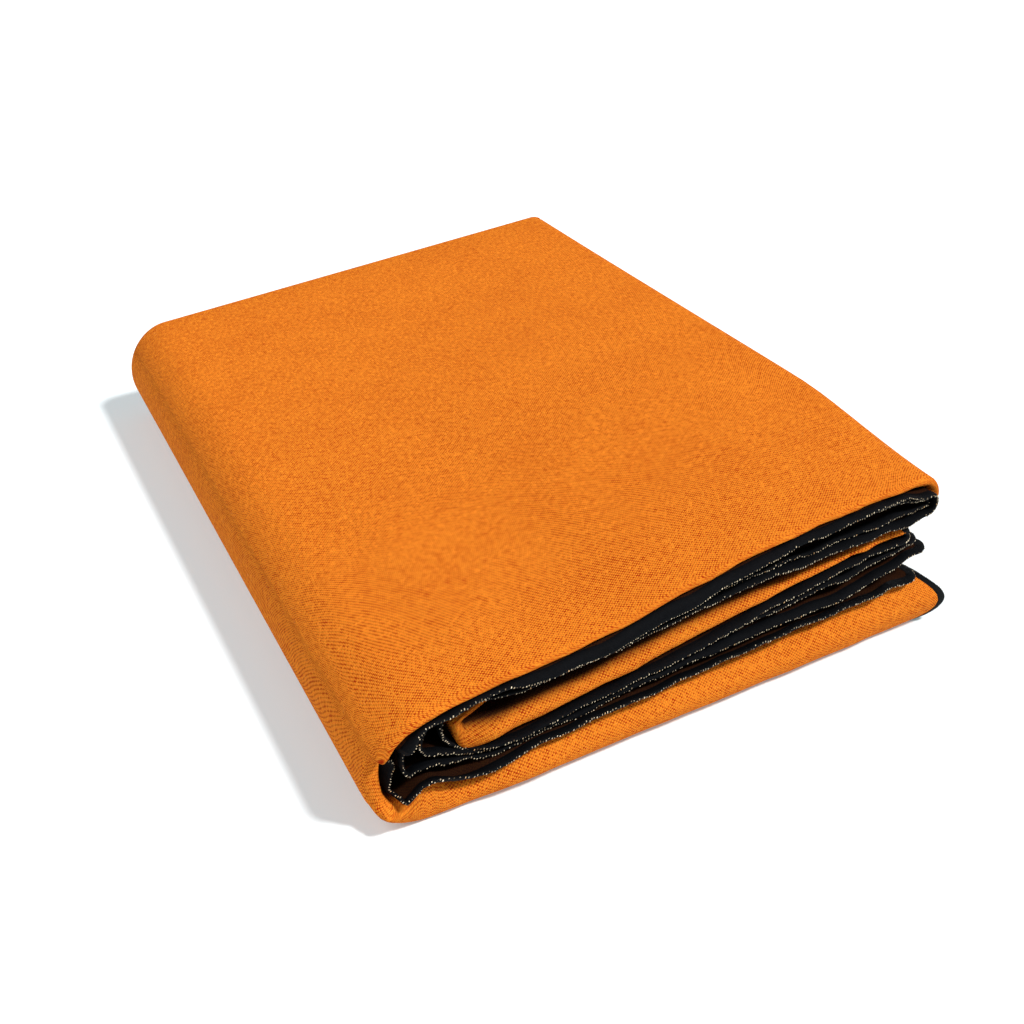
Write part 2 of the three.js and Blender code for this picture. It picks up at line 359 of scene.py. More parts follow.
@dataclass(frozen=True)
class ClothFinish:
    """Coarse plain weave in orange: pale crests, redder gaps and slightly uneven threads."""

    warps_per_metre: float = 1030.0
    wefts_per_metre: float = 1200.0
    gap: Colour = (0.36, 0.024, 0.002)
    thread: Colour = (0.735, 0.134, 0.0095)
    crest: Colour = (0.99, 0.37, 0.031)
    # Near-black painted shade: the cloth is mixed towards it in the slots next to the cut edges, and as a
    # painted shadow on the roll under them.
    lint: Colour = (0.0045, 0.0030, 0.0028)
    crossing_edge: float = 2.2
    crossing_share: float = 0.6
    height_share: float = 0.4
    slub_share: float = 2.3
    cloud_share: float = 0.3
    deepen: float = 1.0
    cloud_scale: float = 30.0
    slub_scale: float = 260.0
    thread_step: float = 0.731
    bump_height: float = 0.00022
    bump_strength: float = 0.8
    slub_height: float = 0.4
    roughness: float = 0.95
    shine: float = 0.03

    def build(self) -> bpy.types.Material:
        """Makes the weave, its relief and the painted shade in the slots and on the roll under the cut
        edges.

        Returns:
            The finished cloth material.
        """
        nodes = Nodes("orange weave")
        along, across = uv_values(nodes)
        warp = (along * (self.warps_per_metre * math.pi)).sine()
        weft = (across * (self.wefts_per_metre * math.pi)).sine()
        over = warp * weft
        warp_on_top = (over * self.crossing_edge + 0.5).clamp()
        height = warp_on_top * (warp * warp) + (1 - warp_on_top) * (weft * weft)
        slub = self._slub(nodes, along, across)
        cloud = nodes.noise(self.cloud_scale, 5.0)
        weave = over * self.crossing_share + height * self.height_share
        tone = (weave + slub * self.slub_share + cloud * self.cloud_share - self.deepen).clamp()
        colour = nodes.ramp(tone, (0.0, self.gap), (1.0, self.crest), (0.5, self.thread))
        # Painted shade: the slot_shade attribute mixes the weave towards the near-black painted shade
        # colour.
        beside = nodes.add("Attribute", {"attribute_name": SLOT_SHADE}).outputs["Fac"]
        painted_shade_mix = nodes.add("Mix", {"data_type": "RGBA"}, in0=beside, in6=colour, in7=(*self.lint, 1.0))
        return nodes.finish(
            Base_Color=painted_shade_mix.outputs[2],
            Roughness=self.roughness,
            Specular_IOR_Level=self.shine,
            Normal=nodes.bump(height + slub * self.slub_height, self.bump_height, self.bump_strength),
        )

    def _slub(self, nodes: Nodes, along: Value, across: Value) -> Value:
        """Makes single threads uneven, drawn out along each thread.

        Args:
            nodes: The cloth's material.
            along: First UV number.
            across: Second UV number.

        Returns:
            The unevenness, about 0.5 on average.
        """
        values = []
        threads = ((along * self.warps_per_metre, across), (across * self.wefts_per_metre, along))
        for thread, run in threads:
            each, drawn = thread.floor() * self.thread_step, run * self.slub_scale
            vector = nodes.add("CombineXYZ", None, X=each, Y=drawn, Z=0.0)
            noise = nodes.add("TexNoise", None, Vector=vector.outputs[0], Scale=1.0, Detail=2.0)
            values.append(Value(nodes, noise.outputs[0]))
        return values[0] * 0.5 + values[1] * 0.5


@dataclass(frozen=True)
class EdgingFinish:
    """Dense black overlock threads that cross the edge at a slight slant, with a low sheen."""

    strands_per_metre: float = 2100.0
    slant: float = 0.35
    deep: Colour = (0.0008, 0.0010, 0.0014)
    lit: Colour = (0.0045, 0.0052, 0.0070)
    strand_share: float = 0.7
    uneven_share: float = 0.6
    deepen: float = 0.2
    uneven_scale: float = 420.0
    bump_height: float = 0.00025
    bump_strength: float = 0.7
    roughness: float = 0.6
    shine: float = 0.06

    def build(self) -> bpy.types.Material:
        """Makes the slanting strands and their relief.

        Returns:
            The finished edging material.
        """
        nodes = Nodes("black overlock thread")
        along, across = uv_values(nodes)
        phase = (along + across * self.slant) * (self.strands_per_metre * math.pi)
        strand = phase.sine()
        round_strand = strand * strand
        uneven = nodes.noise(self.uneven_scale, 3.0)
        tone = (round_strand * self.strand_share + uneven * self.uneven_share - self.deepen).clamp()
        height = round_strand + uneven * self.uneven_share
        return nodes.finish(
            Base_Color=nodes.ramp(tone, (0.0, self.deep), (1.0, self.lit)),
            Roughness=self.roughness,
            Specular_IOR_Level=self.shine,
            Normal=nodes.bump(height, self.bump_height, self.bump_strength),
        )


@dataclass(frozen=True)
class NeedleThreadFinish:
    """Pale gold sewing thread, lighter on some stitches than on others."""

    dull: Colour = (0.12, 0.07, 0.035)
    gold: Colour = (0.72, 0.44, 0.21)
    bright: Colour = (1.0, 0.84, 0.58)
    fibre_scale: float = 3000.0
    bump_height: float = 0.0001
    bump_strength: float = 0.4
    roughness: float = 0.4
    shine: float = 0.3

    def build(self) -> bpy.types.Material:
        """Makes the thread, with its own lightness on every stitch.

        Returns:
            The finished thread material.
        """
        nodes = Nodes("pale gold thread")
        shade = nodes.add("Attribute", {"attribute_name": STITCH_SHADE}).outputs["Fac"]
        fibres = nodes.noise(self.fibre_scale, 2.0)
        return nodes.finish(
            Base_Color=nodes.ramp(shade, (0.0, self.dull), (1.0, self.bright), (0.5, self.gold)),
            Roughness=self.roughness,
            Specular_IOR_Level=self.shine,
            Normal=nodes.bump(fibres, self.bump_height, self.bump_strength),
        )


@dataclass(frozen=True)
class FloorFinish:
    """Plain white paper, lit a little from behind."""

    white: Colour = (0.76, 0.80, 0.81)
    glow: float = 0.2
    glow_colour: Colour = (0.72, 0.92, 1.0)

    def build(self) -> bpy.types.Material:
        """Makes the plain floor.

        Returns:
            The floor material.
        """
        return Nodes("white floor").finish(
            Base_Color=(*self.white, 1.0),
            Roughness=1.0,
            Specular_IOR_Level=0.0,
            Emission_Color=(*self.glow_colour, 1.0),
            Emission_Strength=self.glow,
        )


# ---------- The fold lines ----------
class Side(Enum):
    """Which way a half turn goes."""

    LEFT = 1
    RIGHT = -1


@dataclass
class Stretch:
    """One straight run or half turn of a fold line."""

    start: float
    length: float
    origin: Array
    heading: Array
    radius: float = 0.0
    reach: float = 0.0
    side: int = 0


@dataclass
class FoldLine:
    """Straight runs joined by half turns, in one plane."""

    end: Array
    heading: Array
    length: float = 0.0
    stretches: list[Stretch] = field(default_factory=list)
    stations: list[float] = field(default_factory=lambda: [0.0])

    def run(self, length: float, shares: Array) -> "FoldLine":
        """Adds a straight run.

        Args:
            length: Its length.
            shares: Where its stations lie, as shares of that length.

        Returns:
            The same fold line.
        """
        self.stretches.append(Stretch(self.length, length, self.end.copy(), self.heading.copy()))
        self.end = self.end + self.heading * length
        return self._add_stations(length, shares)

    def turn(self, radius: float, side: Side, steps: int, reach: float | None = None) -> "FoldLine":
        """Adds a half turn.

        Args:
            radius: Half the distance between the two runs that it joins.
            side: Which way it turns.
            steps: Stations round it.
            reach: How far it goes on ahead, if it isn't a half circle.

        Returns:
            The same fold line.
        """
        left = np.array([-self.heading[1], self.heading[0]])
        centre = self.end + left * (side.value * radius)
        length = math.pi * radius
        ahead = radius if reach is None else reach
        heading = self.heading.copy()
        self.stretches.append(Stretch(self.length, length, centre, heading, radius, ahead, side.value))
        self.end = self.end + left * (2 * side.value * radius)
        self.heading = -self.heading
        return self._add_stations(length, np.arange(1, steps + 1) / steps)

    def _add_stations(self, length: float, shares: Array) -> "FoldLine":
        """Moves the line's end on.

        Args:
            length: Length of what was added.
            shares: Where its stations lie, as shares of that length.

        Returns:
            The same fold line.
        """
        self.stations.extend(self.length + length * shares)
        self.length += length
        return self

    def at(self, distance: Array) -> tuple[Array, Array, Array, Array]:
        """Finds points of the line.

        Args:
            distance: Distances along the line.

        Returns:
            Both coordinates of each point, and of the direction to the right-hand side there.
        """
        starts = np.array([stretch.start for stretch in self.stretches])
        which = np.clip(np.searchsorted(starts, distance, side="right") - 1, 0, len(starts) - 1)
        out = [np.zeros_like(distance) for _ in range(4)]
        for number, stretch in enumerate(self.stretches):
            here = which == number
            for target, values in zip(out, self._on_stretch(stretch, distance[here])):
                target[here] = values
        return tuple(out)

    @staticmethod
    def _on_stretch(stretch: Stretch, distance: Array) -> tuple[Array, Array, Array, Array]:
        """Finds points of one run or turn.

        Args:
            stretch: The run or turn.
            distance: Distances along the whole line.

        Returns:
            Both coordinates, and both of the direction to the right-hand side.
        """
        along = distance - stretch.start
        ones = np.ones_like(along)
        if stretch.side == 0:
            x = stretch.origin[0] + stretch.heading[0] * along
            y = stretch.origin[1] + stretch.heading[1] * along
            return x, y, ones * stretch.heading[1], -ones * stretch.heading[0]
        angle = along / stretch.radius
        left = np.array([-stretch.heading[1], stretch.heading[0]])
        aside = -stretch.side * np.cos(angle)[:, None] * left
        ahead = np.sin(angle)[:, None] * stretch.heading
        point = stretch.origin + aside * stretch.radius + ahead * stretch.reach
        right = (aside + ahead) * stretch.side
        return point[:, 0], point[:, 1], right[:, 0], right[:, 1]


# ---------- How the packet settles ----------
# Numbers of the half turns in their fold lines.
INNER_SPINE_TURN = 1
OUTER_SPINE_TURN = 5
FRONT_FOLD = 3

# Layers are counted from 0 for the lowest to 15 for the top one. The cut edges are those of
# layers 2 to 5 and 10 to 13; layers 0-1, 6-7, 8-9 and 14-15 join in folds at the front.
STATIONS = (45, 60, 90, 120, 150, 180, 210, 240, 270, 300, 325)
LAYER_HEIGHTS = (
    (0.7, 0.7, 0.7, 0.7, 0.7, 0.7, 0.7, 0.7, 0.7, 1.0, 1.6),
    (14, 18.5, 22.6, 24.4, 25, 25, 25, 26.5, 29.5, 32, 30.5),
    (20, 21, 25, 27, 28, 29.8, 31.6, 32.2, 33, 35, 34.5),
    (22.2, 23.4, 27.8, 31.5, 36, 38, 39.6, 39.8, 42, 48, 50.5),
    (23.9, 25.2, 29.8, 34.2, 38.8, 44, 46.8, 49.6, 52.2, 55.2, 55.5),
    (25.5, 27, 31.8, 35.8, 40.2, 45.2, 51.2, 56.2, 59.4, 60.2, 60.4),
    (27, 28.6, 33.4, 37.4, 41.8, 46.8, 52.8, 57.8, 61, 61.8, 62),
    (43.5, 44.5, 47.5, 50.5, 56.5, 60.5, 61.5, 62.8, 65.5, 66.5, 67),
    (45.5, 46.5, 49.5, 52.5, 58.5, 62.5, 63.5, 64.8, 67.3, 68.3, 69),
    (47.5, 48.6, 51.5, 54.5, 60.5, 64.5, 65.5, 66.8, 69.1, 70.1, 71),
    (53.5, 55.3, 56.6, 59.2, 65.6, 69.4, 71.4, 72.3, 73.6, 74, 75),
    (55.4, 57.4, 58.7, 61.5, 68, 72, 74, 75, 77, 78.5, 79.5),
    (57.8, 61.4, 62.6, 66.2, 73.2, 78.2, 83.2, 85.8, 87.2, 87, 86.6),
    (60.4, 63.4, 64.9, 68.4, 75.4, 80.4, 85.4, 87.9, 89.4, 89, 88.4),
    (62, 65, 66.5, 70, 77, 82, 87, 89.5, 91, 90.5, 90),
    (64.2, 67.2, 68.7, 72.2, 79.2, 84.2, 89.2, 91.7, 93.2, 92.7, 92),
)
# The top layer over the spine, in front of the first station, and along the back fold's two ends.
SPINE_TOP_STATIONS = (0, 33)
SPINE_TOP_HEIGHTS = (56, 62.5)
BACK_HEIGHTS = (63.3, 89.3)

# How far the cut edges turn up or down over their last few millimetres.
CURL_STATIONS = (45, 60, 67, 75, 90, 120, 150, 180, 210, 240, 270, 300)
CURL = {
    2: (0, 0.3, 0.5, 1.0, 1.4, 1.6, 1.6, 1.8, 2.0, 1.6, 1.0, 0.5),
    3: (0, 0, 0, -0.3, -0.8, -1.5, -2.0, -2.2, -2.2, -2.0, -1.6, -1.0),
    4: (0, 0, 0, -0.3, -0.6, -1.0, -1.5, -1.8, -1.8, -1.8, -1.6, -1.0),
    5: (0, 0, 0, -0.3, -0.6, -1.0, -1.5, -1.8, -1.6, -1.4, -1.2, -0.8),
    10: (0, -0.3, -0.3, -0.5, -0.6, -0.6, -0.8, -1.0, -1.0, -1.0, -1.6, -1.6),
    11: (0, 0, 0, 0, 0, 0, -0.3, -0.5, -0.5, -0.5, -1.0, -1.0),
    12: (0, -0.5, -0.6, -2.0, -2.6, -3.4, -4.0, -2.4, -1.6, -1.2, -0.8, 0.0),
    13: (0.5, 1.2, 1.4, -2.2, -2.9, -4.0, -5.2, -2.8, -1.8, -1.4, 0.2, 0.6),
}

# How far each layer's front edge sits back near the spine, in the middle and at the open side.
SET_BACK_STATIONS = (60, 150, 300)
SET_BACK = (
    (1, 1, 1), (1, 1, 1), (0, 0, 0.8), (6, 4.2, 2.5), (8, 6.0, 4.5), (5, 3.6, 3.5), (4, 3.6, 4),
    (4.5, 4.2, 4.5), (12, 10, 8), (12, 10, 8), (6.5, 2.4, 1), (8, 5.5, 3.5), (6.5, 4, 2.5), (-0.4, -0.6, 0),
    (-0.8, -0.8, -0.2), (-0.8, -0.8, -0.2),
)
# The same at the turns of the outer spine, inner spine and nose, for the four plies there: the
# two with cut edges, inner one first, and the two that fold at the front.
OUTER_SPINE_SET_BACK = (8, 0.5, 1.5, 1.5)
INNER_SPINE_SET_BACK = (8.5, 11, 6, 7)
NOSE_SET_BACK = (3, 0.5, 2, 2)

# How far each of the eight lower layers stops short at the open side.
OPEN_END_SHORTFALL = (12, 15, 21, 16, 21, 27, 30, 32)

# The front edge of the plies as they go round the outer spine, from the top of the packet to
# its underside, in (distance from the spine, height).
OUTER_CUT_EDGE = (
    (60, 64.5), (49, 62), (38, 60), (29, 59), (24, 56.5), (22, 52), (17.5, 46), (12.5, 41), (12, 38.5),
    (15, 36.5), (15.5, 33), (14, 29), (13, 24), (12.5, 20.5), (14.5, 19.5), (17, 20.5), (20, 24),
    (24, 27.5), (29, 27.5), (33, 26), (39, 24), (49, 22.4), (60, 21.4),
)
OUTER_CUT_EDGE_INSIDE = (
    (60, 61), (45, 59), (34, 57), (27, 54), (22.5, 49), (19.5, 43), (18.5, 37), (19, 31), (21, 27),
    (25, 29), (29, 30), (34, 29.5), (40, 27), (46, 25), (52, 24), (60, 23.4),
)
FOLDED_PLY = (
    (60, 65), (45, 62), (36, 60), (26, 57.5), (19, 55), (14.5, 51), (11, 45), (9, 39), (8.3, 33),
    (8.3, 27), (9, 20), (11, 15.5), (15, 14.5), (20, 18), (25, 22.5), (30, 23), (34, 19.5), (40, 16),
    (46, 16), (53, 17), (60, 18.5),
)
# Where the outer cut edge starts to turn in, a few millimetres behind its rim.
OUTER_CUT_ROOT = (
    (60, 63.4), (45, 60.4), (36, 58.4), (27, 55.8), (20.5, 53.2), (16.2, 49.5), (12.8, 44), (10.8, 38.5),
    (10.1, 33), (10.1, 27), (10.8, 21), (12.2, 17.4), (15, 16.6), (19, 19.6), (24, 24.4), (30, 25),
    (35, 22), (40, 19.5), (46, 19), (53, 19.6), (60, 20.4),
)
# The same for the two cut edges round the inner spine, from the underside up.
INNER_SPINE_OUTER_CUT = (
    (60, 25.2), (51, 26.5), (43, 30), (36, 33.5), (30, 36), (27.5, 39), (27, 43), (28.5, 48), (31, 52),
    (36, 55.2), (44, 57), (60, 57.4),
)
INNER_SPINE_INNER_CUT = (
    (60, 27), (53, 28), (47, 30.5), (42.5, 34), (39.5, 38), (38.3, 42), (38.3, 46), (39.3, 49.6),
    (42.5, 52.8), (50, 54.8), (60, 55.3),
)


# Distance from the spine where the curves above end, and the share of them over which they fade.
CURVE_SPAN = 60.0
CURVE_FADE = 0.08

# Where one arrangement gives way to the next, in layers or in distance from the spine.
INNER_LAYERS_FROM = (3.2, 4.2)
INNER_LAYERS_TO = (10.8, 11.8)
UPPER_LAYERS = (7, 8)
NOSE_LAYERS = (7.4, 8)
OUTER_TURN_END = (45, 66)
INNER_TURN_END = (46, 66)
SPINE_END = (13, 52)
CURL_START = (45, 58)
CURL_END = (300, 314)
LOOSE_PLIES = (2.2, 3.0)

# Small waves of the front edges: size, length, turn for each ply, and phase.
LIFT_WAVES = ((0.28, 3.9, 2.3, 0), (0.3, 7.3, 1.1, 2))
FORWARD_WAVES = ((0.35, 6.1, 1.7, 0), (0.3, 12.7, -2.1, 0))


class Ply(Enum):
    """The four plies of a panel, from the innermost at a spine or nose turn."""

    INNER_CUT = 0
    OUTER_CUT = 1
    INNER_FOLD = 2
    OUTER_FOLD = 3


@dataclass(frozen=True)
class Crease:
    """A soft trough in the cloth, from one point to another, pushed in by a vector, in packet mm."""

    start: tuple[float, float, float]
    end: tuple[float, float, float]
    push: tuple[float, float, float]
    width: float


CREASES = (
    Crease((2, 2, 45), (1, 22, 49), (1.6, 0.9, -0.5), 3.6),
    Crease((6, 2, 31), (1, 13, 22), (1.1, 0.9, 0.2), 2.4),
    Crease((33, 0, 20), (27, 0, 5), (0, 1.7, 0.4), 3.2),
    Crease((17, 0, 16), (12, 2, 4), (0.6, 1.2, 0.3), 2.6),
    Crease((256, 0, 89), (263, 11, 93), (0, 0.6, -1.5), 2.6),
    Crease((303, 0, 90), (322, 5, 88), (0, 0.8, -1.2), 1.8),
)


@dataclass
class Packet:
    """The folded packet: where every point of the flat cloth ends up."""

    width: float = 330.0
    depth: float = 445.0
    thickness: float = 1.1
    pitch: float = 3.6
    gaps: int = 15
    front_reach: float = 95.0
    set_back_reach: float = 60.0
    spine_reach: float = 34.0
    curl_reach: float = 6.0
    fold_reach: float = 3.0
    corner_radius: float = 9.0
    fold_set_back: float = 4.0
    nose_draw_in: float = 14.0
    nose_draw_reach: float = 130.0
    lean: float = 4.0
    bottom_puff: float = 5.0
    middle_puff: float = 3.0
    fold_puff: float = 2.5
    bottom_bulge: float = 11.0
    bulge_reach: float = 80.0
    open_reach: float = 90.0
    wave_reach: float = 30.0
    wave_keep: float = 0.7
    nose_start: float = 34.0
    nose_even: float = 22.0
    side_gap: float = 0.75
    open_gap: float = 2.0
    inner_spine_in: float = 22.0
    inner_back_in: float = 3.0
    run_steps: int = 30
    run_crowd: float = 2.6
    probe: float = 0.05

    def __post_init__(self) -> None:
        """Lays out the fold lines and the settling tables."""
        panel = 4 * self.pitch
        self.outer_layer = 1.5 * self.pitch
        self.spine_radius = 1.5 * panel
        self.turn_radius = 0.5 * panel
        self.spine_centre = self.spine_radius + self.outer_layer + self.side_gap
        self.inner_spine_centre = self.spine_centre + self.inner_spine_in
        self.nose_centre = self.width - self.turn_radius - self.outer_layer - self.side_gap
        self.panel_end = self.width - self.open_gap
        self.across = self._lay_across(1.5 * panel)
        self.through = self._lay_through()
        self._build_tables()
        self._build_spine()

    # -- fold lines --
    def _lay_across(self, start_height: float) -> FoldLine:
        """Third panel, inner spine, second panel, nose, top panel, outer spine, bottom panel.

        Args:
            start_height: Height of the line's start.

        Returns:
            The fold line across the packet.
        """
        line = FoldLine(np.array([self.panel_end, start_height]), np.array([-1.0, 0.0]))
        line.run(self.panel_end - self.inner_spine_centre, self._both_ends(46))
        line.turn(self.turn_radius, Side.RIGHT, 14)
        line.run(self.nose_centre - self.inner_spine_centre, self._both_ends(44))
        line.turn(self.turn_radius, Side.LEFT, 16)
        line.run(self.nose_centre - self.spine_centre, self._both_ends(56))
        line.turn(self.spine_radius, Side.LEFT, 44)
        line.run(self.panel_end - self.spine_centre, self._both_ends(56))
        return line

    def _lay_through(self) -> FoldLine:
        """From one cut edge to the inner back fold, front fold, outer back fold and cut edge.

        Returns:
            The fold line through the packet's depth.
        """
        radius = self.pitch / 2
        back = self.depth - self.outer_layer - self.side_gap
        inner_back = back - self.inner_back_in
        front = self.fold_set_back + self.fold_reach
        out = self._run_shares(self.run_steps, self.run_crowd)
        home = 1 - np.append(out[::-1][1:], 0.0)
        line = FoldLine(np.array([0.0, -radius]), np.array([1.0, 0.0]))
        line.run(inner_back, out)
        line.turn(radius, Side.LEFT, 5)
        line.run(inner_back - front, home)
        line.turn(radius, Side.RIGHT, 12, self.fold_reach)
        line.run(back - front, out)
        line.turn(self.outer_layer, Side.RIGHT, 9)
        line.run(back, home)
        return line

    @staticmethod
    def _run_shares(steps: int, crowd: float) -> Array:
        """Shares of a run's length that crowd towards its start."""
        return (np.arange(1, steps + 1) / steps) ** crowd

    @staticmethod
    def _both_ends(steps: int) -> Array:
        """Shares of a run's length, a little closer towards both ends."""
        share = np.arange(1, steps + 1) / steps
        return share - 0.09 * np.sin(2 * np.pi * share)

    # -- tables --
    def _build_tables(self) -> None:
        """Softens the settling tables."""
        self.heights = [smooth_table(STATIONS, row, 7.0) for row in LAYER_HEIGHTS]
        self.curl = {layer: smooth_table(CURL_STATIONS, row, 3.0) for layer, row in CURL.items()}
        self.set_back = [smooth_table(SET_BACK_STATIONS, row, 12.0) for row in SET_BACK]

    @staticmethod
    def _by_layer(tables: Sequence[tuple[Array, Array]], layer: Array, x: Array) -> Array:
        """Reads a table per layer at places between layers.

        Args:
            tables: A softened table for every layer.
            layer: Layers, counted up from 0 at the bottom.
            x: Distances from the spine side.

        Returns:
            The value at every place.
        """
        columns = np.stack([np.interp(x, *table) for table in tables])
        low = np.clip(np.floor(layer).astype(int), 0, len(tables) - 2)
        index = np.arange(len(x))
        return mix(columns[low, index], columns[low + 1, index], layer - low)

    def _build_spine(self) -> None:
        """Finds how the plies move at the front of both spines, along the fold line."""
        outer = {
            Ply.INNER_CUT: OUTER_CUT_EDGE_INSIDE,
            Ply.OUTER_CUT: OUTER_CUT_ROOT,
            Ply.INNER_FOLD: FOLDED_PLY,
        }
        inner = {Ply.INNER_CUT: INNER_SPINE_OUTER_CUT, Ply.OUTER_CUT: INNER_SPINE_INNER_CUT}
        outer_turn = self.across.stretches[OUTER_SPINE_TURN]
        inner_turn = self.across.stretches[INNER_SPINE_TURN]
        outer_moves = self._turn_moves(outer_turn, CURVE_SPAN - self.spine_centre, outer)
        inner_moves = self._turn_moves(inner_turn, CURVE_SPAN - self.inner_spine_centre, inner)
        start, end, share, _ = outer_moves
        rim = np.zeros((4, len(share), 2))
        shapes = [self._resample(np.array(c, dtype=float), share) for c in (OUTER_CUT_EDGE, OUTER_CUT_ROOT)]
        fade = np.clip(np.minimum(share, 1 - share) / CURVE_FADE, 0, 1)[:, None]
        rim[Ply.OUTER_CUT.value] = (shapes[0] - shapes[1]) * fade
        self.turn_moves = [outer_moves, inner_moves, (start, end, share, rim)]

    def _turn_moves(self, turn: Stretch, lead: float, curves: dict[Ply, Sequence]) -> tuple:
        """Moves of the four plies round one turn.

        Args:
            turn: The half turn of the fold line.
            lead: Length of the runs on either side that moves too.
            curves: Where the plies' front edges go.

        Returns:
            Start and end along the fold line, shares of that length, and moves by ply.
        """
        start, end = turn.start - lead, turn.start + turn.length + lead
        share = np.linspace(0.0, 1.0, 160)
        s = mix(start, end, share)
        moves = np.zeros((4, len(share), 2))
        fade = np.clip(np.minimum(share, 1 - share) / CURVE_FADE, 0, 1)[:, None]
        for ply, curve in curves.items():
            offset = (ply.value - 1.5) * self.pitch
            base = self._settle_even(s, np.full_like(s, offset), np.zeros_like(s))
            shaped = self._resample(np.array(curve, dtype=float), share)
            moves[ply.value] = (shaped - base[:, [0, 2]]) * fade
        return start, end, share, moves

    @staticmethod
    def _resample(curve: Array, share: Array) -> Array:
        """Finds points along a curve.

        Args:
            curve: Corners of the curve.
            share: Shares of its length.

        Returns:
            A point for every share.
        """
        steps = np.hypot(*np.diff(curve, axis=0).T)
        length = np.concatenate([[0.0], np.cumsum(steps)])
        length /= length[-1]
        return np.stack([np.interp(share, length, curve[:, i]) for i in (0, 1)], axis=1)

    # -- settling --
    def _height(self, x: Array, y: Array) -> Array:
        """Finds the middle of the top layer.

        Args:
            x: Distances from the spine side.
            y: Distances from the front.

        Returns:
            Heights.
        """
        stations, heights = (*SPINE_TOP_STATIONS, *STATIONS), (*SPINE_TOP_HEIGHTS, *LAYER_HEIGHTS[-1])
        front = np.interp(x, stations, heights)
        back = mix(*BACK_HEIGHTS, np.clip(x / self.width, 0, 1))
        return mix(front, back, smoothstep(y, 0, self.depth))

    def _turn_shares(self, x: Array, layer: Array) -> tuple[Array, Array, Array]:
        """Finds how much a place takes part in the turns.

        Args:
            x: Distances from the spine side.
            layer: Layers, counted up from 0 at the bottom.

        Returns:
            Shares of the outer spine, the inner spine and the nose.
        """
        inside = smoothstep(layer, *INNER_LAYERS_FROM) * (1 - smoothstep(layer, *INNER_LAYERS_TO))
        outer = (1 - smoothstep(x, *OUTER_TURN_END)) * (1 - inside)
        inner = (1 - smoothstep(x, *INNER_TURN_END)) * inside
        nose = smoothstep(x, self.nose_centre - self.nose_start, self.nose_centre)
        nose = nose * smoothstep(layer, *UPPER_LAYERS)
        return outer, inner, nose

    def _set_back(self, x: Array, y: Array, layer: Array, ply: Array) -> Array:
        """Finds how far a place moves back from the front, with the puff of the big folds.

        Args:
            x: Distances from the spine side.
            y: Distances from the front.
            layer: Layers, counted up from 0 at the bottom.
            ply: Plies, counted from 0 for the innermost of a panel.

        Returns:
            Distances back.
        """
        outer, inner, nose = self._turn_shares(x, layer)
        back = self._by_layer(self.set_back, layer, x)
        puff = self.bottom_puff * np.sin(np.pi * np.clip(layer, 0, 1))
        puff += self.middle_puff * np.sin(np.pi * np.clip(layer - 6, 0, 1))
        back = back - puff
        turns = ((outer, OUTER_SPINE_SET_BACK), (inner, INNER_SPINE_SET_BACK), (nose, NOSE_SET_BACK))
        for share, table in turns:
            at_turn = np.interp(ply, np.arange(len(Ply)), table)
            if table is OUTER_SPINE_SET_BACK:
                past_fold = np.clip(ply - Ply.INNER_FOLD.value, 0, 1)
                at_turn = at_turn - self.fold_puff * np.sin(np.pi * past_fold)
            back = mix(back, at_turn, share)
        return back * (1 - smoothstep(y, 0, self.set_back_reach))

    def _draw_in(self, x: Array, y: Array, layer: Array) -> Array:
        """Finds how far a place moves towards the spine near the open side.

        Args:
            x: Distances from the spine side.
            y: Distances from the front.
            layer: Layers, counted up from 0 at the bottom.

        Returns:
            Distances towards the spine.
        """
        near_open = smoothstep(x, self.width - self.open_reach, self.width)
        upper = smoothstep(layer, *UPPER_LAYERS)
        near_front = 1 - smoothstep(y, 0, self.bulge_reach)
        bulge = self.bottom_bulge * np.sin(np.pi * np.clip(layer, 0, 1)) * near_front
        lower = np.arange(len(OPEN_END_SHORTFALL))
        ends = (np.interp(layer, lower, OPEN_END_SHORTFALL) - bulge) * (1 - upper)
        nose = self.nose_draw_in * (1 - smoothstep(y, 0, self.nose_draw_reach)) * upper
        return (ends + nose) * near_open

    def _settle_even(self, s: Array, offset: Array, y: Array) -> Array:
        """Settles points of the evenly folded cloth.

        Args:
            s: Distance across the flat cloth.
            offset: Distance of the ply from the middle of its panel.
            y: Distance of the even point from the front.

        Returns:
            Points in packet millimetres.
        """
        x, z, right_x, right_z = self.across.at(s)
        x, z = x + right_x * offset, z + right_z * offset
        layer = np.clip(z / self.pitch - 0.5, 0, self.gaps)
        ply = offset / self.pitch + 1.5
        half = self.thickness / 2
        even = half + layer / self.gaps * (self._height(x, y) - half)
        table = self._by_layer(self.heights, layer, x)
        at_nose = smoothstep(x, self.nose_centre - self.nose_even, self.nose_centre)
        at_nose = at_nose * smoothstep(layer, *NOSE_LAYERS)
        lowest, highest = np.interp(x, *self.heights[8]), np.interp(x, *self.heights[15])
        table = mix(table, mix(lowest, highest, (layer - 8) / 7), at_nose)
        at_spine = 1 - smoothstep(x, *SPINE_END)
        front = (1 - smoothstep(y, 0, self.front_reach)) * (1 - at_spine)
        height = mix(even, table, front)
        height += self._curl(x, y, layer)
        back = self._set_back(x, y, layer, ply)
        lean = self.lean * y / self.depth
        return np.stack([x - self._draw_in(x, y, layer) + lean, y + back, height], axis=1)

    def _curl(self, x: Array, y: Array, layer: Array) -> Array:
        """Finds how far the cut edges turn up or down.

        Args:
            x: Distances from the spine side.
            y: Distances from the front.
            layer: Layers, counted up from 0 at the bottom.

        Returns:
            Distances up.
        """
        no_turn = smoothstep(x, *CURL_START) * (1 - smoothstep(x, *CURL_END))
        near = np.clip(1 - y / self.curl_reach, 0.0, 1.0) ** 1.6
        curl = np.zeros_like(x)
        for number, table in self.curl.items():
            curl += np.interp(x, *table) * np.clip(1.5 - 2 * np.abs(layer - number), 0, 1)
        return curl * near * no_turn

